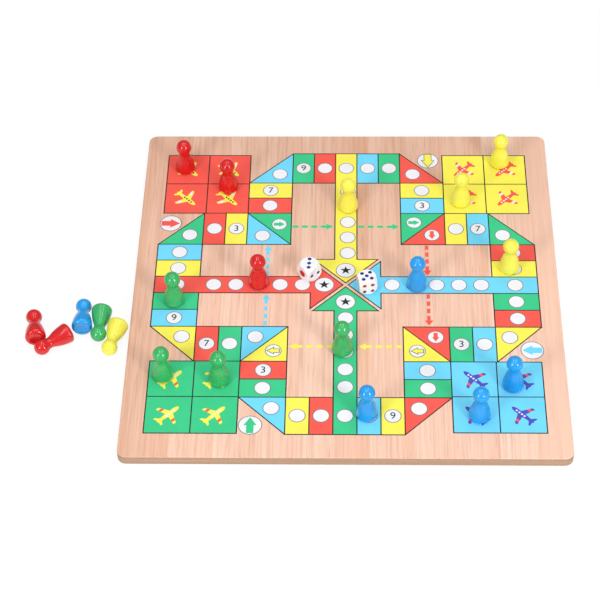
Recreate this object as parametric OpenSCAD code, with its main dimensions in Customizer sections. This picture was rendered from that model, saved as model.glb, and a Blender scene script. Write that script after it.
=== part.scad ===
// Aeroplane chess set: a printed plywood board, pawns in four colours and two dice.
// Sizes are in millimetres. +X is right, +Y is away from the front player, +Z is up.
// The origin is the centre of the board's underside.

/* [Board] */
// Width of the board, left to right
board_w = 280; // [276:1:320]
// Depth of the board, front to back
board_d = 290; // [276:1:330]
// Thickness of each of the three plies
ply_t = 2.3; // [1.6:0.1:3]
// Radius of the corners, seen from above
corner_r = 5.8; // [4:0.1:10]
// Radius of the softened upper and lower edges
edge_r = 0.5; // [0.3:0.1:1.4]

/* [Printed field] */
// Side of the square that the track fills
field = 253.3; // [246:0.1:258]
// Width of the dark outlines
line_w = 0.75; // [0.4:0.05:1]
// Thickness of one layer of ink
ink_t = 0.04; // [0.02:0.01:0.06]
// Diameter of the white spots on the track and the lanes
spot_d = 10.7; // [9:0.1:11]
// Diameter of the white spot at the end of each lane
home_d = 13.2; // [11:0.1:14]
// Diameter of the white spot where each colour starts
start_d = 15; // [13:0.1:15.4]
// Width of the grey rim round a white spot
rim_w = 0.5; // [0.2:0.05:0.6]
// Length of a dash in a flight line
dash_l = 4; // [3:0.1:4.2]
// Gap between two dashes
dash_gap = 2.4; // [1.5:0.1:2.5]
// Width of a dash
dash_w = 2.2; // [1:0.1:3]

/* [Pawns] */
// Height of a pawn
pawn_h = 26.2; // [25:0.1:30]
// Diameter of the round head
head_d = 10.5; // [10:0.1:12]
// Diameter of the foot
foot_d = 13.7; // [13:0.1:14.8]
// Radius of the long curve from the foot to the neck
flank_r = 33; // [30:0.5:36]
// Radius of the hollow curve round the neck
neck_r = 5; // [3:0.1:6]
// Radius of the lower edge of the foot
foot_edge_r = 2.2; // [0.6:0.1:2.4]
// Diameter of the shallow dish under the foot
dish_d = 8.4; // [6:0.1:8.6]
// Depth of that dish
dish_depth = 1; // [0.3:0.1:1.4]

/* [Dice] */
// Edge of a die
die_a = 12; // [11:0.1:12.5]
// Diameter of the ball that rounds off the corners
die_ball_d = 16.4; // [16.4:0.1:18]
// Diameter of a pip
pip_d = 2.7; // [1.6:0.1:2.7]
// Diameter of the single pip on the one
ace_d = 5.4; // [3:0.1:5.6]
// Depth of a pip's hollow
pip_depth = 0.5; // [0.3:0.05:0.7]
// Distance of a pip from the middle lines of its face
pip_at = 2.7; // [2.7:0.1:2.8]
// How far the paint lies below the face
paint_gap = 0.06; // [0.04:0.01:0.2]

/* [Hidden] */
$fn = 96;

board_t = 3 * ply_t;
ink_layers = 5;
stand_z = board_t + ink_layers * ink_t;

// The track is laid out on a grid of 17 by 17 units, counted from the back left corner.
grid = 17;
unit = field / grid;

// Ink colours in the order in which they follow each other along the track
colours = ["green", "red", "yellow", "blue"];
ink_rgb = [[0.16, 0.70, 0.42], [0.93, 0.30, 0.26], [0.99, 0.91, 0.20], [0.33, 0.76, 0.96]];
pawn_rgb = [[0.16, 0.58, 0.28], [0.80, 0.08, 0.10], [0.97, 0.88, 0.15], [0.11, 0.50, 0.88]];

// Places of the pawns, one row for each colour in the order above.
// Two numbers are a pawn that stands on the board.
// A third number is the way the head points, in degrees, of a pawn that lies beside the board.
pawn_places = [
    [[-112.5, -15.5], [-115.5, -80], [-79.5, -83.5], [-2, -58], [-159.3, -21.5, -92.5]],
    [[-112.5, 110.5], [-81.5, 91.5], [-57.5, 0.6], [-200.1, -48.6, 100], [-178.6, -41.9, 215.5]],
    [[107, 116.5], [78.5, 78], [1.5, 72.5], [108.5, 15], [-147.3, -34, -103]],
    [[105.4, -86.8], [83.5, -112], [47, -1], [13.5, -111], [-171.2, -39.4, 92]],
];

// Dice: place, turn about the upright, and the tip that brings the thrown face up
dice = [[[-24.1, 8.2], 221, [0, 0, 0]], [[13.9, -3.2], 12, [-90, 0, 0]]];

function pawn_name(c, n) = str(colours[c], "_pawn_", n + 1);
function ink_name(c) = str("ink_", colours[c]);
function die_name(n) = str("die_", n + 1);

// Board

// Half of a ply's cross-section, from the middle line out to one softened upper edge
module ply_section(reach) {
    square([reach, ply_t - edge_r]);
    square([reach - edge_r, ply_t]);
    translate([reach - edge_r, ply_t - edge_r]) circle(r = edge_r);
}

// A ply with the board's outline and a softened upper edge, standing on z = 0
module soft_ply() {
    inner_w = board_w - 2 * corner_r;
    inner_d = board_d - 2 * corner_r;
    for (side = [0, 180]) {
        rotate([90, 0, side]) linear_extrude(inner_d, center = true) ply_section(board_w / 2);
        rotate([90, 0, 90 + side]) linear_extrude(inner_w, center = true) ply_section(board_d / 2);
    }
    for (sx = [-1, 1], sy = [-1, 1]) {
        translate([sx * inner_w / 2, sy * inner_d / 2, 0]) rotate_extrude() ply_section(corner_r);
    }
}

module bottom_ply() {
    color([0.86, 0.68, 0.53]) translate([0, 0, ply_t]) mirror([0, 0, 1]) soft_ply();
}

module core_ply() {
    color([0.72, 0.54, 0.40]) translate([0, 0, ply_t]) {
        translate([-board_w / 2, corner_r - board_d / 2, 0]) cube([board_w, board_d - 2 * corner_r, ply_t]);
        translate([corner_r - board_w / 2, -board_d / 2, 0]) cube([board_w - 2 * corner_r, board_d, ply_t]);
        for (sx = [-1, 1], sy = [-1, 1]) {
            translate([sx * (board_w / 2 - corner_r), sy * (board_d / 2 - corner_r), 0])
                cylinder(r = corner_r, h = ply_t);
        }
    }
}

module top_ply() {
    color([0.90, 0.72, 0.57]) translate([0, 0, 2 * ply_t]) soft_ply();
}

// Layout of the print

function at(x, y) = [(x - grid / 2) * unit, (grid / 2 - y) * unit];
function box(x0, y0, x1, y1) = [at(x0, y1), at(x1, y1), at(x1, y0), at(x0, y0)];

// Unit normal of an edge from a to b, on its left
function left_normal(a, b) = [a.y - b.y, b.x - a.x] / norm(b - a);

// A polygon, listed anticlockwise, with every edge moved inwards by d
function inset(p, d) = [
    for (i = [0:len(p) - 1])
        let (before = left_normal(p[(i + len(p) - 1) % len(p)], p[i]))
        let (after = left_normal(p[i], p[(i + 1) % len(p)]))
        p[i] + (before + after) * d / (1 + before * after)
];

// An arrow along +X, from its tail at x = 0
function arrow(shaft_l, shaft_w, head_l, head_w) = [
    [0, -shaft_w / 2],
    [shaft_l, -shaft_w / 2],
    [shaft_l, -head_w / 2],
    [shaft_l + head_l, 0],
    [shaft_l, head_w / 2],
    [shaft_l, shaft_w / 2],
    [0, shaft_w / 2],
];

// One quarter of the print. The other three are the same, turned clockwise.
// A lane and the cell before it are one strip, with an arrowhead that points at the centre.
lane_head_y = 6.94;
lane_tip_y = 8.38;
lane_head_reach = lane_tip_y - lane_head_y;
lane = [
    at(8, 0),
    at(8, lane_head_y),
    at(8.5 - lane_head_reach, lane_head_y),
    at(8.5, lane_tip_y),
    at(8.5 + lane_head_reach, lane_head_y),
    at(9, lane_head_y),
    at(9, 0),
];
cells = [
    [at(0, 6), at(2, 6), at(2, 4)],
    box(2, 4, 3, 6),
    box(3, 4, 4, 6),
    [at(4, 6), at(6, 6), at(4, 4)],
    [at(6, 6), at(6, 4), at(4, 4)],
    box(4, 3, 6, 4),
    box(4, 2, 6, 3),
    [at(4, 2), at(6, 2), at(6, 0)],
    box(6, 0, 7, 2),
    box(7, 0, 8, 2),
    lane,
    box(9, 0, 10, 2),
    box(10, 0, 11, 2),
];
band = [
    at(0, 6), at(6, 6), at(6, 2), at(11, 2), at(11, 0), at(6, 0), at(4, 2), at(4, 4), at(2, 4),
];

// In a triangle the spot sits near the right angle. A flight begins and ends on such a spot,
// and in the first quarter these two are printed a little further to the front right.
tuck = 0.6;
function take_off_spot(q) = q == 0 ? at(5.46, 4.72) : at(6 - tuck, 4 + tuck);
function landing_spot(q) = q == 0 ? at(4.71, 5.45) : at(4 + tuck, 6 - tuck);
function spots(q) = [
    at(2 - tuck, 6 - tuck), at(2.5, 5), at(3.5, 5), landing_spot(q), take_off_spot(q),
    at(5, 3.5), at(5, 2.5), at(6 - tuck, 2 - tuck), at(6.5, 1), at(7.5, 1), at(8.5, 1), at(9.5, 1),
    at(10.5, 1),
];
// The spots of a lane lie slightly closer than the cells.
// They are printed a little out of register: yellow's to the right, blue's outwards and two of the homes
// forwards. One of the start spots lies further from the track than the others.
lane_spot_x = [8.58, 8.5, 8.5, 8.5];
lane_spot_y = [2.6, 2.5, 2.57, 2.64];
lane_step = 0.985;
home_y = [7.62, 7.55, 7.47, 7.55];
function lane_spots(q) = [for (k = [0:4]) at(lane_spot_x[q], lane_spot_y[q] + k * lane_step)];
function home_spot(q) = at(8.5, home_y[q]);
start_y = [4.67, 4.67, 4.67, 4.55];
function start_spot(q) = at(0.48, start_y[q]);

// A base is a square of four, set in a little from the outer sides of the field.
// Green's reaches further to the front than the others.
base_low = 0.12;
base_high = 4;
base_left = [base_low, base_low, base_low, 0.04];
function base(q) = box(base_left[q], base_low, base_high, base_high);
function base_quarters(q) =
    let (w = (base_high - base_left[q]) / 2)
    let (d = (base_high - base_low) / 2)
    [for (x = [base_left[q], base_high - w], y = [base_low, base_high - d]) box(x, y, x + w, y + d)];

// A flight line crosses two spans of bare wood, each three dashes and an arrow.
// Blue's line lies a little further in than the others.
flight_lead = 0.9;
flight_spans = [6, 9];
flight_y = [4.86, 4.86, 4.86, 5];
flight_head_l = 4.5;
flight_head_w = 5.6;
flight_arrow = arrow(dash_l, dash_w, flight_head_l, flight_head_w);

// Arrows inside spots: small ones where a flight begins and ends, large ones at the start
mark_shaft_l = 3.7;
mark_shaft_w = 2.7;
mark_head_l = 3.8;
mark_head_w = 4.8;
mark_l = mark_shaft_l + mark_head_l;
mark = arrow(mark_shaft_l, mark_shaft_w, mark_head_l, mark_head_w);
start_mark_size = 1.7;
start_mark_l = mark_l * start_mark_size;
start_mark = mark * start_mark_size;

// The quarter in which a colour starts
function start_of(c) = (c + 3) % 4;

// Blue's flight has no small arrows.
blue = 3;

module quarter(q) {
    rotate(-90 * q) children();
}

module layer(n) {
    translate([0, 0, board_t + n * ink_t]) linear_extrude(ink_t) children();
}

module ink_outline() {
    color([0.20, 0.20, 0.18]) layer(0) {
        for (q = [0:3], shape = [band, lane, base(q)]) {
            quarter(q) polygon(inset(shape, -line_w / 2));
        }
    }
}

module flight_line(y) {
    for (x = flight_spans) {
        translate(at(x, y)) {
            for (k = [0:2]) {
                translate([flight_lead + k * (dash_l + dash_gap), -dash_w / 2]) square([dash_l, dash_w]);
            }
            translate([flight_lead + 3 * (dash_l + dash_gap), 0]) polygon(flight_arrow);
        }
    }
}

// Everything printed in one colour, on the layers that its neighbours leave free
module ink(c) {
    color(ink_rgb[c]) {
        layer(0) quarter(c) flight_line(flight_y[c]);
        layer(1) for (q = [0:3]) {
            quarter(q) {
                for (i = [0:len(cells) - 1]) {
                    if ((q + i) % 4 == c) polygon(inset(cells[i], line_w / 2));
                }
                if ((q + 1) % 4 == c) {
                    for (part = base_quarters(q)) polygon(inset(part, line_w / 2));
                }
            }
        }
        layer(2) quarter(start_of(c)) {
            translate(start_spot(start_of(c)) - [start_mark_l / 2, 0]) polygon(start_mark);
        }
        if (c != blue) {
            layer(4) quarter(c) translate(take_off_spot(c) - [mark_l / 2, 0]) polygon(mark);
            layer(4) quarter(c + 1) translate(landing_spot(c + 1) - [0, mark_l / 2]) rotate(90) polygon(mark);
        }
    }
}

// Round spots of the given inset on two layers: the start spots lie on bare wood, the rest on colour
module all_spots(less, start_layer) {
    layer(start_layer) for (q = [0:3]) quarter(q) translate(start_spot(q)) circle(d = start_d - less);
    layer(start_layer + 2) for (q = [0:3]) {
        quarter(q) {
            for (p = concat(spots(q), lane_spots(q))) translate(p) circle(d = spot_d - less);
            translate(home_spot(q)) circle(d = home_d - less);
        }
    }
}

module ink_grey() {
    color([0.62, 0.62, 0.60]) all_spots(0, 0);
}

module ink_white() {
    color([0.96, 0.96, 0.95]) all_spots(2 * rim_w, 1);
}

// Pawn

head_c = [0, pawn_h - head_d / 2];
flank_c = [foot_d / 2 - flank_r, 0];

// The outer of the two points at distances r1 from c1 and r2 from c2
function meet(c1, r1, c2, r2) =
    let (span = norm(c2 - c1))
    let (along = (c2 - c1) / span)
    let (s = (span * span + r1 * r1 - r2 * r2) / (2 * span))
    c1 + along * s + [along.y, -along.x] * sqrt(r1 * r1 - s * s);

// The neck's hollow touches the head and the flank, and the foot's edge touches the flank and the ground.
neck_c = meet(flank_c, flank_r + neck_r, head_c, head_d / 2 + neck_r);
neck_low = flank_c + (neck_c - flank_c) * flank_r / (flank_r + neck_r);
neck_high = head_c + (neck_c - head_c) * head_d / 2 / (head_d / 2 + neck_r);
edge_span = flank_r - foot_edge_r;
edge_c = [flank_c.x + sqrt(edge_span * edge_span - foot_edge_r * foot_edge_r), foot_edge_r];
edge_high = flank_c + (edge_c - flank_c) * flank_r / edge_span;
dish_r = (dish_d * dish_d / 4 + dish_depth * dish_depth) / (2 * dish_depth);

// The head and the flank run on inside the web that carries the neck's hollow.
module pawn_section() {
    difference() {
        union() {
            intersection() {
                union() {
                    translate(head_c) circle(d = head_d);
                    translate(flank_c) circle(r = flank_r);
                }
                translate([0, edge_high.y]) square([foot_d, pawn_h]);
            }
            difference() {
                polygon([[0, neck_low.y], neck_low, neck_high, [0, neck_high.y]]);
                translate(neck_c) circle(r = neck_r);
            }
            square([edge_c.x, neck_low.y / 2]);
            translate(edge_c) circle(r = foot_edge_r);
        }
        translate([0, dish_depth - dish_r]) circle(r = dish_r);
    }
}

// A pawn on its side rests on its head and on the flank, a little above the foot.
lie_span = norm(head_c - flank_c);
lie_tilt = acos((head_d / 2 - flank_r) / lie_span) - atan2(head_c.y, flank_c.x);
lie_h = head_c.y * sin(lie_tilt) + head_d / 2;

module pawn(c, place) {
    standing = len(place) == 2;
    color(pawn_rgb[c])
        translate([place.x, place.y, standing ? stand_z : lie_h])
        rotate(standing ? [0, 0, 0] : [0, 90 + lie_tilt, place.z])
        rotate_extrude() pawn_section();
}

// Dice

// Turns that bring the upper side to each face. Opposite faces add up to seven.
faces = [[0, 90, 0], [-90, 0, 0], [0, 0, 0], [180, 0, 0], [90, 0, 0], [0, -90, 0]];
pip_corners = [for (x = [-1, 1], y = [-1, 1]) [x, y]];
pip_grid = [
    [[0, 0]],
    [[-1, 0], [1, 0]],
    [[-1, -1], [0, 0], [1, 1]],
    pip_corners,
    concat(pip_corners, [[0, 0]]),
    concat(pip_corners, [[-1, 0], [1, 0]]),
];
red_faces = [1, 4];
blue_faces = [2, 3, 5, 6];

// Balls that hollow the pips of the given faces
module pip_balls(numbers) {
    for (n = numbers) {
        d = n == 1 ? ace_d : pip_d;
        ball_r = (d * d / 4 + pip_depth * pip_depth) / (2 * pip_depth);
        rotate(faces[n - 1]) for (p = pip_grid[n - 1]) {
            translate([p.x * pip_at, p.y * pip_at, die_a / 2 - pip_depth + ball_r]) sphere(r = ball_r);
        }
    }
}

module die_place(n) {
    translate([dice[n][0].x, dice[n][0].y, stand_z + die_a / 2])
        rotate([0, 0, dice[n][1]])
        rotate(dice[n][2])
        children();
}

module die(n) {
    color([0.97, 0.97, 0.96]) die_place(n) difference() {
        intersection() {
            cube(die_a, center = true);
            sphere(d = die_ball_d);
        }
        pip_balls(concat(red_faces, blue_faces));
    }
}

module pip_paint(n, rgb, numbers) {
    color(rgb) die_place(n) intersection() {
        cube(die_a - 2 * paint_gap, center = true);
        pip_balls(numbers);
    }
}

bottom_ply();
core_ply();
top_ply();
ink_outline();
for (c = [0:3]) ink(c);
ink_grey();
ink_white();
for (c = [0:3], n = [0:4]) pawn(c, pawn_places[c][n]);
for (n = [0:1]) {
    die(n);
    pip_paint(n, [0.80, 0.10, 0.12], red_faces);
    pip_paint(n, [0.14, 0.12, 0.42], blue_faces);
}
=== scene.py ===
# %% [markdown]
# # An aeroplane chess set on a white table
# The real thing is a plywood board with a printed track, a handful of moulded pawns and two dice.
# The solids come ready-made at their true size, so this lesson is about finishes, print and light.
# The first step loads those solids and moves each one's placement into its mesh.

# %% Load the solids
import math

import bmesh
import bpy
from mathutils import Matrix, Vector


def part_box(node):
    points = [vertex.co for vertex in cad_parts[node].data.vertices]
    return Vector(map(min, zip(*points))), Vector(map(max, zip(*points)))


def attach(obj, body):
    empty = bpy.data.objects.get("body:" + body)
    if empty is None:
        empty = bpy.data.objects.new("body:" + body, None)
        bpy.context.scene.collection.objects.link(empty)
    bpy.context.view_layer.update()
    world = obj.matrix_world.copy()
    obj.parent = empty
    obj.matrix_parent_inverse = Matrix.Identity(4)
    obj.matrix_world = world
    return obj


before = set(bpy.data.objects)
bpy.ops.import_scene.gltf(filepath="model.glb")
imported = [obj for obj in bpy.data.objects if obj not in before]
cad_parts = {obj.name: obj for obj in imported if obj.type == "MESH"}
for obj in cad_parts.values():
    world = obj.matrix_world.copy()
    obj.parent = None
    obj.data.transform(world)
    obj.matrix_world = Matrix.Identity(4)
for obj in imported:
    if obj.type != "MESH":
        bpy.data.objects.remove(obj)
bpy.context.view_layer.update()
MM = 0.001
colours = ["green", "red", "yellow", "blue"]

# %% [markdown]
# The camera stands about 1.3 m away with a long lens, so the board's sides converge only a little.
# Its place was worked out from the printed grid: the cells are square, which fixes tilt and distance.
# A long lens far away is the usual choice for a product picture, because it keeps proportions honest.

# %% Camera
camera_data = bpy.data.cameras.new("camera")
camera_data.lens = 116.517
camera_data.sensor_width = 36
camera = bpy.data.objects.new("camera", camera_data)
bpy.context.scene.collection.objects.link(camera)
bpy.context.scene.camera = camera
camera_place = Vector((3.68, -878.5, 942.7)) * MM
camera_turns = [("Z", 2.2237), ("X", 42.7625), ("Z", -1.4848)]
camera_matrix = Matrix.Translation(camera_place)
for axis, degrees in camera_turns:
    camera_matrix @= Matrix.Rotation(math.radians(degrees), 4, axis)
camera.matrix_world = camera_matrix
print("camera", round(camera_place.length, 3), "m from the board")

# %% [markdown]
# Materials are graphs of nodes, and most of the finishes here need the same few moves.
# These helpers add a node, set its sockets and wire it up in one line, so that each recipe stays short.
# Colours are written as they look on a screen, from 0 to 255, and turned into the linear values that a
# shader uses.

# %% Helpers for finishes
def screen(red, green, blue):
    """A colour as seen on a screen, as the linear colour that a shader takes."""
    parts = [part / 255 for part in (red, green, blue)]
    return [p / 12.92 if p <= 0.04045 else ((p + 0.055) / 1.055) ** 2.4 for p in parts] + [1.0]


def new_finish(name, **settings):
    """A material with one Principled shader. Settings are its sockets, with _ for each space."""
    finish = bpy.data.materials.new(name)
    finish.use_nodes = True
    shader = finish.node_tree.nodes["Principled BSDF"]
    for socket, value in settings.items():
        shader.inputs[socket.replace("_", " ")].default_value = value
    return finish


def shader_of(finish):
    return finish.node_tree.nodes["Principled BSDF"]


def add(finish, kind, links=None, values=None, **options):
    """A node of that kind. Links maps its sockets to other sockets, and values maps them to numbers."""
    node = finish.node_tree.nodes.new("ShaderNode" + kind)
    for option, value in options.items():
        setattr(node, option, value)
    for socket, value in (values or {}).items():
        node.inputs[socket].default_value = value
    for socket, source in (links or {}).items():
        finish.node_tree.links.new(source, node.inputs[socket])
    return node


def feed(finish, source, socket):
    finish.node_tree.links.new(source, shader_of(finish).inputs[socket])


def place_of(finish):
    """The point on the object, in metres, in the set's own frame."""
    return add(finish, "TexCoord").outputs["Object"]


def stretched_noise(finish, per_metre, detail=3.0, roughness=0.55, place=None):
    """Soft noise with so many features to the metre along x, y and z."""
    scaled = add(finish, "Mapping", {"Vector": place or place_of(finish)}, {"Scale": per_metre})
    values = {"Scale": 1.0, "Detail": detail, "Roughness": roughness}
    return add(finish, "TexNoise", {"Vector": scaled.outputs["Vector"]}, values).outputs["Fac"]


def ramp(finish, source, stops):
    """A colour for each level of the source. Stops are pairs of a level and a linear colour."""
    node = add(finish, "ValToRGB", {"Fac": source})
    elements = node.color_ramp.elements
    while len(elements) < len(stops):
        elements.new(0.5)
    for element, (level, colour) in zip(elements, stops):
        element.position = level
        element.color = colour
    return node.outputs["Color"]


def span(finish, source, low, high, to_low, to_high):
    """The source's run from low to high, moved to run between two other numbers."""
    values = {"From Min": low, "From Max": high, "To Min": to_low, "To Max": to_high}
    return add(finish, "MapRange", {"Value": source}, values).outputs["Result"]


def plug(finish, node, sources):
    """Gives a node's sockets, by number, their sources. A source is another socket or a plain value."""
    for socket, source in sources.items():
        if isinstance(source, bpy.types.NodeSocket):
            finish.node_tree.links.new(source, node.inputs[socket])
        else:
            node.inputs[socket].default_value = source


def mix(finish, share, first, second, blend="MIX"):
    """Two colours mixed by a share, which is a socket or a number."""
    node = add(finish, "Mix", data_type="RGBA", blend_type=blend)
    plug(finish, node, {0: share, 6: first, 7: second})
    return node.outputs[2]


def math_node(finish, operation, first, second):
    """Two numbers put together. Each is a socket or a plain number."""
    node = add(finish, "Math", operation=operation)
    plug(finish, node, {0: first, 1: second})
    return node.outputs[0]


def bump(finish, height, distance, strength=1.0):
    node = add(finish, "Bump", {"Height": height}, {"Distance": distance, "Strength": strength})
    feed(finish, node.outputs["Normal"], "Normal")


def dress(finish, *names):
    """Gives solids a finish."""
    for name in names:
        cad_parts[name].material_slots[0].material = finish


print("finish helpers ready")

# %% [markdown]
# The face of the board is a pale veneer of narrow slats laid side by side, with the grain front to back.
# Each slat has its own tone and darkens towards its right edge. Fine streaks and flecks run along them all.
# The face colour turns browner towards the back and along the left edge, and paler along the right one.
# A one-dimensional Voronoi pattern splits the width into slats and gives each a random tone.
# Noise that is stretched along y gives the streaks. That follows how the veneer is really made, so it holds
# up close to.

# %% Face veneer
slat_width = 25 * MM
slat_shift = 33 * slat_width  # picks the run of tones that falls on this board
pale_wood = screen(254, 217, 196)
mid_wood = screen(250, 206, 183)
warm_wood = screen(244, 193, 165)
dark_wood = screen(212, 161, 135)
brown_tint = (0.80, 0.765, 0.725, 1)
end_dark = screen(176, 142, 117)
end_light = screen(190, 156, 132)
# Where a tone comes in: two places across or along the board, and its share at each
brown_left = (-140 * MM, -95 * MM, 0.65, 0.0)
brown_back = (-10 * MM, 95 * MM, 0.0, 0.78)
pale_right = (105 * MM, 135 * MM, 0.0, 0.45)


def slat_tone(finish, x):
    """How pale the veneer is at x: a random level for each slat, less what it loses from left to right."""
    values = {"Scale": 1 / slat_width, "Randomness": 0.45}
    shifted = math_node(finish, "ADD", x, slat_shift)
    slats = add(finish, "TexVoronoi", {"W": shifted}, values, voronoi_dimensions="1D")
    level = add(finish, "SeparateColor", {"Color": slats.outputs["Color"]}).outputs["Red"]
    across = math_node(finish, "SUBTRACT", shifted, slats.outputs["W"])
    loss = span(finish, across, -slat_width / 2, slat_width / 2, 0.0, 0.35)
    return math_node(finish, "SUBTRACT", span(finish, level, 0.0, 1.0, 0.3, 1.0), loss)


def make_face_wood():
    finish = new_finish("face_wood", Specular_IOR_Level=0.06)
    place = place_of(finish)
    x, y = [add(finish, "SeparateXYZ", {"Vector": place}).outputs[axis] for axis in "XY"]
    fine = stretched_noise(finish, (560, 11, 40), detail=4, roughness=0.65, place=place)
    flecks = stretched_noise(finish, (900, 40, 40), detail=2, place=place)
    slats = ramp(finish, slat_tone(finish, x), [(0.0, warm_wood), (0.45, mid_wood), (0.9, pale_wood)])
    streaked = mix(finish, span(finish, fine, 0.32, 0.58, 0.5, 0.0), slats, dark_wood)
    flecked = mix(finish, span(finish, flecks, 0.57, 0.72, 0.0, 0.45), streaked, dark_wood)
    browner = math_node(finish, "MAXIMUM", span(finish, x, *brown_left), span(finish, y, *brown_back))
    tinted = mix(finish, browner, flecked, brown_tint, "MULTIPLY")
    veneer = mix(finish, span(finish, x, *pale_right), tinted, pale_wood)
    normal = add(finish, "NewGeometry").outputs["Normal"]
    upright = add(finish, "SeparateXYZ", {"Vector": normal}).outputs["Z"]
    level = add(finish, "Math", {0: upright}, operation="ABSOLUTE").outputs[0]
    end_grain = stretched_noise(finish, (900, 900, 1400), detail=2, place=place)
    end_colour = ramp(finish, end_grain, [(0.3, end_dark), (0.7, end_light)])
    colour = mix(finish, span(finish, level, 0.15, 0.8, 0.0, 1.0), end_colour, veneer)
    feed(finish, colour, "Base Color")
    feed(finish, span(finish, fine, 0.3, 0.7, 0.7, 0.6), "Roughness")
    bump(finish, fine, 0.05 * MM, 0.5)
    return finish


dress(make_face_wood(), "top_ply", "bottom_ply")
print("face veneer on both outer plies")

# %% [markdown]
# The core is the ply in the middle, and only its sawn and sanded edge shows.
# Its grain crosses that of the faces, so on the front edge it runs sideways in thin lines.
# Stretching the same noise along x in place of y is all that the turn of the grain takes.

# %% Core edge
def make_core_wood():
    finish = new_finish("core_wood", Roughness=0.6)
    lines = stretched_noise(finish, (14, 120, 1500), detail=3)
    stops = [(0.25, screen(165, 131, 106)), (0.5, screen(182, 148, 123)), (0.78, screen(195, 162, 137))]
    feed(finish, ramp(finish, lines, stops), "Base Color")
    bump(finish, lines, 0.06 * MM, 0.6)
    return finish


dress(make_core_wood(), "core_ply")
print("core edge dressed")

# %% [markdown]
# The track is printed straight on the wood with opaque inks that dry to a dull satin.
# Ink is never quite even: it is a touch thinner here and there, and the grain below shows as a faint relief.
# One recipe serves every ink. It takes the ink's colour, mottles it a little and lets the streaks of the
# wood through as bump, so the print belongs to the board.

# %% Inks
ink_screen = {
    "green": (68, 207, 143),
    "red": (252, 98, 86),
    "yellow": (254, 244, 95),
    "blue": (119, 220, 254),
    "outline": (52, 52, 49),
    "grey": (122, 122, 128),
    "white": (243, 243, 248),
    "navy": (87, 87, 192),
}


def make_ink(name):
    colour = screen(*ink_screen[name])
    finish = new_finish("ink_" + name, Specular_IOR_Level=0.06)
    place = place_of(finish)
    cloud = stretched_noise(finish, (60, 60, 60), detail=3, place=place)
    grain = stretched_noise(finish, (520, 9, 40), detail=3, place=place)
    thin = [part * 0.94 for part in colour[:3]] + [1.0]
    feed(finish, ramp(finish, cloud, [(0.3, thin), (0.62, colour)]), "Base Color")
    feed(finish, span(finish, grain, 0.3, 0.7, 0.62, 0.54), "Roughness")
    bump(finish, grain, 0.01 * MM, 0.06)
    return finish


inks = {name: make_ink(name) for name in ink_screen}
for name, finish in inks.items():
    if "ink_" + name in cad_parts:
        dress(finish, "ink_" + name)
print(len(inks), "inks")

# %% [markdown]
# Small print goes on top of the coloured cells as further films of ink, each 0.04 mm thick.
# Real screen printing works the same way: one pass for each ink, and each pass leaves a thin layer.
# A film is a flat outline with a little thickness, so it has a real edge and never flickers against the
# ink below. The track is laid out on 17 by 17 units, and each quarter of the board is the first one turned
# by a right angle.

# %% Films of ink
board_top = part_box("top_ply")[1][2]
ink_layer = 0.04 * MM
on_start_spot, on_colour, on_plane, on_spot = 2, 2, 3, 4  # how many layers lie below a film
field = 253.3
grid = 17
unit = field / grid


def at(x, y):
    """A point of the layout, counted in units from the back left corner, in millimetres."""
    return Vector(((x - grid / 2) * unit, (grid / 2 - y) * unit))


def turned(points, degrees=0, move=(0, 0), size=1):
    """A flat outline made larger, turned about its origin and then moved."""
    turn = Matrix.Rotation(math.radians(degrees), 2)
    return [turn @ (Vector(point) * size) + Vector(move) for point in points]


def quarter(points, number):
    """An outline of the first quarter, carried round to another one."""
    return turned(points, -90 * number)


def add_ring(build, outer, inner, levels):
    """A flat frame between two outlines with as many points each."""
    outer_low, outer_high, inner_low, inner_high = [
        [build.verts.new((p.x * MM, p.y * MM, z)) for p in line] for line in (outer, inner) for z in levels]
    for i in range(len(outer)):
        j = (i + 1) % len(outer)
        build.faces.new((outer_high[i], outer_high[j], inner_high[j], inner_high[i]))
        build.faces.new((inner_low[i], inner_low[j], outer_low[j], outer_low[i]))
        build.faces.new((outer_low[i], outer_low[j], outer_high[j], outer_high[i]))
        build.faces.new((inner_low[j], inner_low[i], inner_high[i], inner_high[j]))


def add_plate(build, outline, levels):
    """A flat plate with the given outline, listed anticlockwise."""
    low, high = [[build.verts.new((p.x * MM, p.y * MM, z)) for p in outline] for z in levels]
    build.faces.new(high)
    build.faces.new(low[::-1])
    for i in range(len(outline)):
        j = (i + 1) % len(outline)
        build.faces.new((low[i], low[j], high[j], high[i]))


def levels_of(layer):
    return [board_top + layer * ink_layer, board_top + (layer + 1) * ink_layer]


def print_film(name, build, ink):
    """Puts a finished film on the board in one of the inks."""
    mesh = bpy.data.meshes.new(name)
    build.to_mesh(mesh)
    build.free()
    piece = bpy.data.objects.new(name, mesh)
    bpy.context.scene.collection.objects.link(piece)
    mesh.materials.append(inks[ink])
    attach(piece, "board")
    return piece


def print_plates(name, outlines, layer, ink):
    build = bmesh.new()
    for outline in outlines:
        add_plate(build, outline, levels_of(layer))
    return print_film(name, build, ink)


print("layout unit", round(unit, 2), "mm")

# %% [markdown]
# Yellow hardly shows on white, so the yellow arrows in the white spots are edged with a thin dark line.
# Each line is a frame between two outlines: the arrow itself, and the same arrow with every side moved
# outwards.

# %% Edges of the yellow arrows
def arrow(shaft_l, shaft_w, head_l, head_w):
    """An arrow along x, with its middle at the origin."""
    half = (shaft_l + head_l) / 2
    shape = [(0, -shaft_w / 2), (shaft_l, -shaft_w / 2), (shaft_l, -head_w / 2), (shaft_l + head_l, 0),
             (shaft_l, head_w / 2), (shaft_l, shaft_w / 2), (0, shaft_w / 2)]
    return [Vector((x - half, y)) for x, y in shape]


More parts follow.
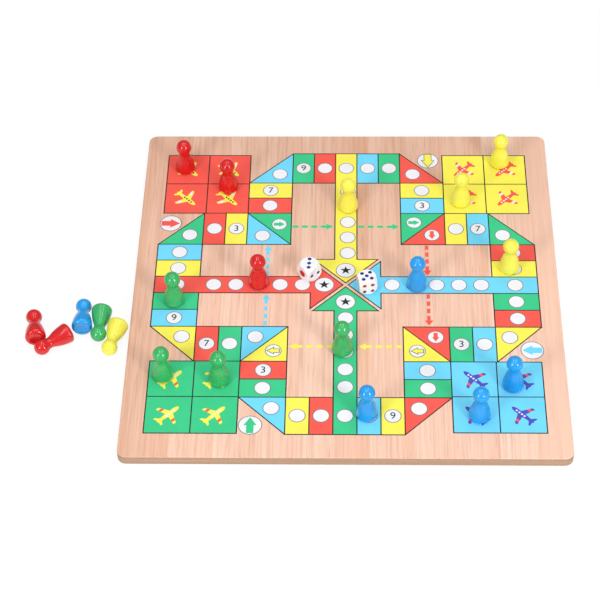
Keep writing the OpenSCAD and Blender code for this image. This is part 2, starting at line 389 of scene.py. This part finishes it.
def grown(outline, distance):
    """An anticlockwise outline with every side moved outwards."""
    moved = []
    for i, point in enumerate(outline):
        before = (point - outline[i - 1]).normalized()
        after = (outline[(i + 1) % len(outline)] - point).normalized()
        before, after = Vector((before.y, -before.x)), Vector((after.y, -after.x))
        moved.append(point + (before + after) * distance / (1 + before.dot(after)))
    return moved


small_arrow = arrow(3.7, 2.7, 3.8, 4.8)
start_spot = at(0.48, 4.67)
take_off_spot = at(5.4, 4.6)
landing_spot = at(4.6, 5.4)
start_size = 1.7
yellow_arrows = [
    (on_start_spot, quarter(turned(small_arrow, 0, start_spot, start_size), 1)),
    (on_spot, quarter(turned(small_arrow, 0, take_off_spot), 2)),
    (on_spot, quarter(turned(small_arrow, 90, landing_spot), 3)),
]
edge_width = 0.4
edges = bmesh.new()
for layer, outline in yellow_arrows:
    add_ring(edges, grown(outline, edge_width), outline, levels_of(layer))
print_film("arrow_edges", edges, "outline")
print(len(yellow_arrows), "yellow arrows edged")

# %% [markdown]
# Some spots carry a short instruction on a real board. Here they get a plain number, the cell's place in
# its quarter, and the last spot of every lane gets a star for home. That says enough in any language.
# Blender's own typeface gives the numbers. They start as text curves and become meshes as thick as one film.

# %% Numbers and home stars
numbered_cells = {3: at(3.5, 5), 7: at(5, 2.5), 9: at(6.5, 1)}
bare_spot = (7, 2)  # the one such spot, by number and quarter, that has no print
number_size = 7.6 * MM


def number_mesh(number):
    curve = bpy.data.curves.new("number", "FONT")
    curve.body = str(number)
    curve.size = number_size
    curve.extrude = ink_layer / 2
    curve.align_x = "CENTER"
    curve.align_y = "CENTER"
    text = bpy.data.objects.new("number", curve)
    bpy.context.scene.collection.objects.link(text)
    bpy.context.view_layer.update()
    mesh = bpy.data.meshes.new_from_object(text.evaluated_get(bpy.context.evaluated_depsgraph_get()))
    bpy.data.objects.remove(text)
    bpy.data.curves.remove(curve)
    return mesh


numbers = bmesh.new()
number_count = 0
for number, spot in numbered_cells.items():
    for q in range(4):
        if (number, q) == bare_spot:
            continue
        place = quarter([spot], q)[0] * MM
        mesh = number_mesh(number)
        mesh.transform(Matrix.Translation((place.x, place.y, sum(levels_of(on_spot)) / 2)))
        numbers.from_mesh(mesh)
        bpy.data.meshes.remove(mesh)
        number_count += 1
print_film("spot_numbers", numbers, "outline")

star_radii = (3.8, 1.5)
star_turns = [k * math.pi / 5 for k in range(10)]
star = [Vector((math.sin(a), math.cos(a))) * star_radii[k % 2] for k, a in enumerate(star_turns)][::-1]
home_rows = (7.62, 7.55, 7.47, 7.55)
home_spots = [quarter([at(grid / 2, y)], q)[0] for q, y in enumerate(home_rows)]
print_plates("home_stars", [turned(star, 0, spot) for spot in home_spots], on_spot, "outline")
print(number_count, "numbers and", len(home_spots), "stars")

# %% [markdown]
# A small aeroplane is printed in each quarter of the four bases. This one is a plain plan view, as on a road
# sign, drawn as half an outline and mirrored. Its nose points at the middle of the board.
# Body, wing bands and windows are printed one after the other, so each colour is a film of its own.
# The print of the green base starts a little further out, so its aeroplanes sit further out too.

# %% Aeroplanes
body_half, wing_half = 1.7, 9.2
wing_front, wing_back = (3.2, -0.8), (-1.0, -3.0)  # x at the body and at the tip
nose = [(6 + 4 * math.cos(a), body_half * math.sin(a)) for a in [k * math.pi / 16 for k in range(9)]]
wing = [(wing_front[0], body_half), (wing_front[1], wing_half), (wing_back[1], wing_half),
        (wing_back[0], body_half)]
tail = [(-6.4, 1.2), (-8.6, 4.0), (-9.9, 4.0), (-9.2, 0.9), (-10, 0)]
half_plane = nose + wing + tail
plane = half_plane + [(x, -y) for x, y in half_plane[-2:0:-1]]


def wing_edge(edge, y):
    """A point on the front or the back edge of the wing."""
    at_body, at_tip = edge
    return at_body + (at_tip - at_body) * (y - body_half) / (wing_half - body_half), y


band_from, band_to = 5.2, 7.2
band = [wing_edge(wing_front, band_from), wing_edge(wing_front, band_to),
        wing_edge(wing_back, band_to), wing_edge(wing_back, band_from)]
bands = [band, [(x, -y) for x, y in band[::-1]]]
window_r = 0.75
disc = [(math.cos(k * math.pi / 10), math.sin(k * math.pi / 10)) for k in range(20)]
windows = [[(x + window_r * dx, window_r * dy) for dx, dy in disc] for x in (5.6, 3.2, 0.8, -1.6)]
plane_turn, plane_size = -45, 0.9
middles = (1.09, 3.03)
green_middles = (1.03, 3.01)
base_inks = [("red", "yellow", "white", "outline"), ("yellow", "red", "white", "white"),
             ("blue", "navy", "red", "white"), ("green", "yellow", "red", "white")]
plane_count = 0
for q, (base, body_ink, band_ink, window_ink) in enumerate(base_inks):
    places = [at(x, y) for x in (green_middles if base == "green" else middles) for y in middles]
    plane_count += len(places)
    parts = [("bodies", [plane], on_colour, body_ink), ("bands", bands, on_plane, band_ink),
             ("windows", windows, on_plane, window_ink)]
    for part, shapes, layer, ink in parts:
        outlines = [quarter(turned(shape, plane_turn, place, plane_size), q)
                    for shape in shapes for place in places]
        print_plates(f"{base}_base_plane_{part}", outlines, layer, ink)
print(plane_count, "aeroplanes")

# %% [markdown]
# Pawns are injection-moulded plastic, coloured right through and very slightly see-through at thin places.
# A little subsurface light softens the shading the way such plastic does, and a fairly low roughness gives
# small soft highlights. Faint waves in the surface, a few millimetres across, stand for the shrinkage that
# every small moulding has.

# %% Pawn plastic
pawn_screen = {
    "green": (60, 183, 104),
    "red": (219, 20, 24),
    "yellow": (255, 246, 86),
    "blue": (28, 163, 242),
}


def make_pawn_plastic(name):
    colour = screen(*pawn_screen[name])
    finish = new_finish(name + "_plastic", Specular_IOR_Level=0.65, Subsurface_Weight=0.18,
                        Subsurface_Scale=2 * MM)
    place = place_of(finish)
    cloud = stretched_noise(finish, (90, 90, 90), detail=2, place=place)
    waves = stretched_noise(finish, (240, 240, 240), detail=1, place=place)
    deep = [part * 0.88 for part in colour[:3]] + [1.0]
    feed(finish, ramp(finish, cloud, [(0.3, deep), (0.65, colour)]), "Base Color")
    feed(finish, span(finish, waves, 0.3, 0.7, 0.15, 0.2), "Roughness")
    bump(finish, waves, 0.04 * MM, 0.1)
    return finish


for name in colours:
    dress(make_pawn_plastic(name), *[f"{name}_pawn_{n}" for n in range(1, 6)])
print("pawn plastic in", len(pawn_screen), "colours")

# %% [markdown]
# The dice are white plastic tumbled until their corners are round, with paint in the hollows of the pips.
# The white is slightly translucent, so it gets subsurface light too. The paint is less glossy than the
# plastic.

# %% Dice
def make_die_plastic():
    finish = new_finish("die_plastic", Roughness=0.16, Subsurface_Weight=0.25, Subsurface_Scale=2 * MM,
                        Coat_Weight=0.5, Coat_Roughness=0.05)
    cloud = stretched_noise(finish, (120, 120, 120), detail=2)
    stops = [(0.3, screen(244, 244, 246)), (0.65, screen(254, 254, 254))]
    feed(finish, ramp(finish, cloud, stops), "Base Color")
    feed(finish, span(finish, cloud, 0.3, 0.7, 0.13, 0.2), "Roughness")
    return finish


def make_pip_paint(name, dark, light):
    finish = new_finish(name, Roughness=0.35)
    specks = stretched_noise(finish, (2500, 2500, 2500), detail=2)
    feed(finish, ramp(finish, specks, [(0.3, screen(*dark)), (0.7, screen(*light))]), "Base Color")
    bump(finish, specks, 0.03 * MM, 0.4)
    return finish


dice = ["die_1", "die_2"]
dress(make_die_plastic(), *dice)
dress(make_pip_paint("red_pip_paint", (176, 20, 30), (210, 36, 44)), *[d + "_red_pips" for d in dice])
dress(make_pip_paint("blue_pip_paint", (26, 22, 104), (44, 38, 140)), *[d + "_blue_pips" for d in dice])
print("dice dressed")

# %% [markdown]
# The set lies on a seamless white table. The picture's background is pure white with hardly any shadow,
# so the floor shows the camera mostly its own even white and only a share of its shading.
# Mirror-like surfaces see that white too. All other light still falls on it as on any pale floor.

# %% White table
own_white = 1.05
own_white_share = 0.84
table_half = 4.0
table_drop = 0.02 * MM


def make_table_finish():
    finish = bpy.data.materials.new("white_table")
    finish.use_nodes = True
    nodes = finish.node_tree.nodes
    nodes.remove(nodes["Principled BSDF"])
    rays = add(finish, "LightPath").outputs
    seen = math_node(finish, "MAXIMUM", rays["Is Camera Ray"], rays["Is Glossy Ray"])
    seen = math_node(finish, "MAXIMUM", seen, rays["Is Transmission Ray"])
    share = math_node(finish, "MULTIPLY", seen, own_white_share)
    pale = add(finish, "BsdfDiffuse", None, {"Color": (0.86, 0.86, 0.86, 1)})
    white = add(finish, "Emission", None, {"Color": (1, 1, 1, 1), "Strength": own_white})
    both = add(finish, "MixShader")
    plug(finish, both, {0: share, 1: pale.outputs[0], 2: white.outputs[0]})
    finish.node_tree.links.new(both.outputs[0], nodes["Material Output"].inputs["Surface"])
    return finish


def flat_square(name, half, z):
    mesh = bpy.data.meshes.new(name)
    corners = [(-half, -half, z), (half, -half, z), (half, half, z), (-half, half, z)]
    mesh.from_pydata(corners, [], [(0, 1, 2, 3)])
    plate = bpy.data.objects.new(name, mesh)
    bpy.context.scene.collection.objects.link(plate)
    return plate


table = flat_square("table", table_half, -table_drop)
table.data.materials.append(make_table_finish())
print("table in place")

# %% [markdown]
# Small glossy things show their lamps as highlights, so the highlights tell where the lamps stood.
# A lying pawn has two thin streaks along its back, which takes two long strips overhead, side by side.
# A standing pawn has two upright glints on its head, which takes two tall lamps in front, left and right.
# A pale surround, brighter overhead than at the horizon, fills the shadows and leaves the pawns' outlines
# darker.

# %% Light
def area_lamp(name, place, aim, size, power):
    """A rectangular lamp. Size is its width and its length. The length points up or to the back."""
    data = bpy.data.lights.new(name, "AREA")
    data.shape = "RECTANGLE"
    data.size, data.size_y = size
    data.energy = power
    lamp = bpy.data.objects.new(name, data)
    bpy.context.scene.collection.objects.link(lamp)
    lamp.location = place
    lamp.rotation_euler = (Vector(aim) - Vector(place)).to_track_quat("-Z", "Y").to_euler()
    return lamp


front_size, front_aim = (0.3, 0.75), (0, 0, 0.5)
strip_size, strip_power, strip_x = (0.1, 1.2), 2.25, 0.26
for side, front_power in ((-1, 6.8), (1, 8.7)):
    area_lamp("front_lamp", (side * 0.8, -1.0, 0.65), front_aim, front_size, front_power)
    area_lamp("overhead_strip", (side * strip_x, 0, 1), (side * strip_x, 0, 0), strip_size, strip_power)

world = bpy.data.worlds.new("surround")
bpy.context.scene.world = world
world.use_nodes = True
sky_nodes, sky_links = world.node_tree.nodes, world.node_tree.links
surround = sky_nodes["Background"]
direction = sky_nodes.new("ShaderNodeTexCoord")
height = sky_nodes.new("ShaderNodeSeparateXYZ")
brightness = sky_nodes.new("ShaderNodeMapRange")
at_horizon, overhead = 0.22, 0.55
for socket, value in {"From Min": 0, "From Max": 1, "To Min": at_horizon, "To Max": overhead}.items():
    brightness.inputs[socket].default_value = value
sky_links.new(direction.outputs["Generated"], height.inputs["Vector"])
sky_links.new(height.outputs["Z"], brightness.inputs["Value"])
sky_links.new(brightness.outputs["Result"], surround.inputs["Strength"])
surround.inputs["Color"].default_value = (1, 1, 1, 1)
bpy.context.scene.view_settings.view_transform = "Standard"
print("lamps and surround set")
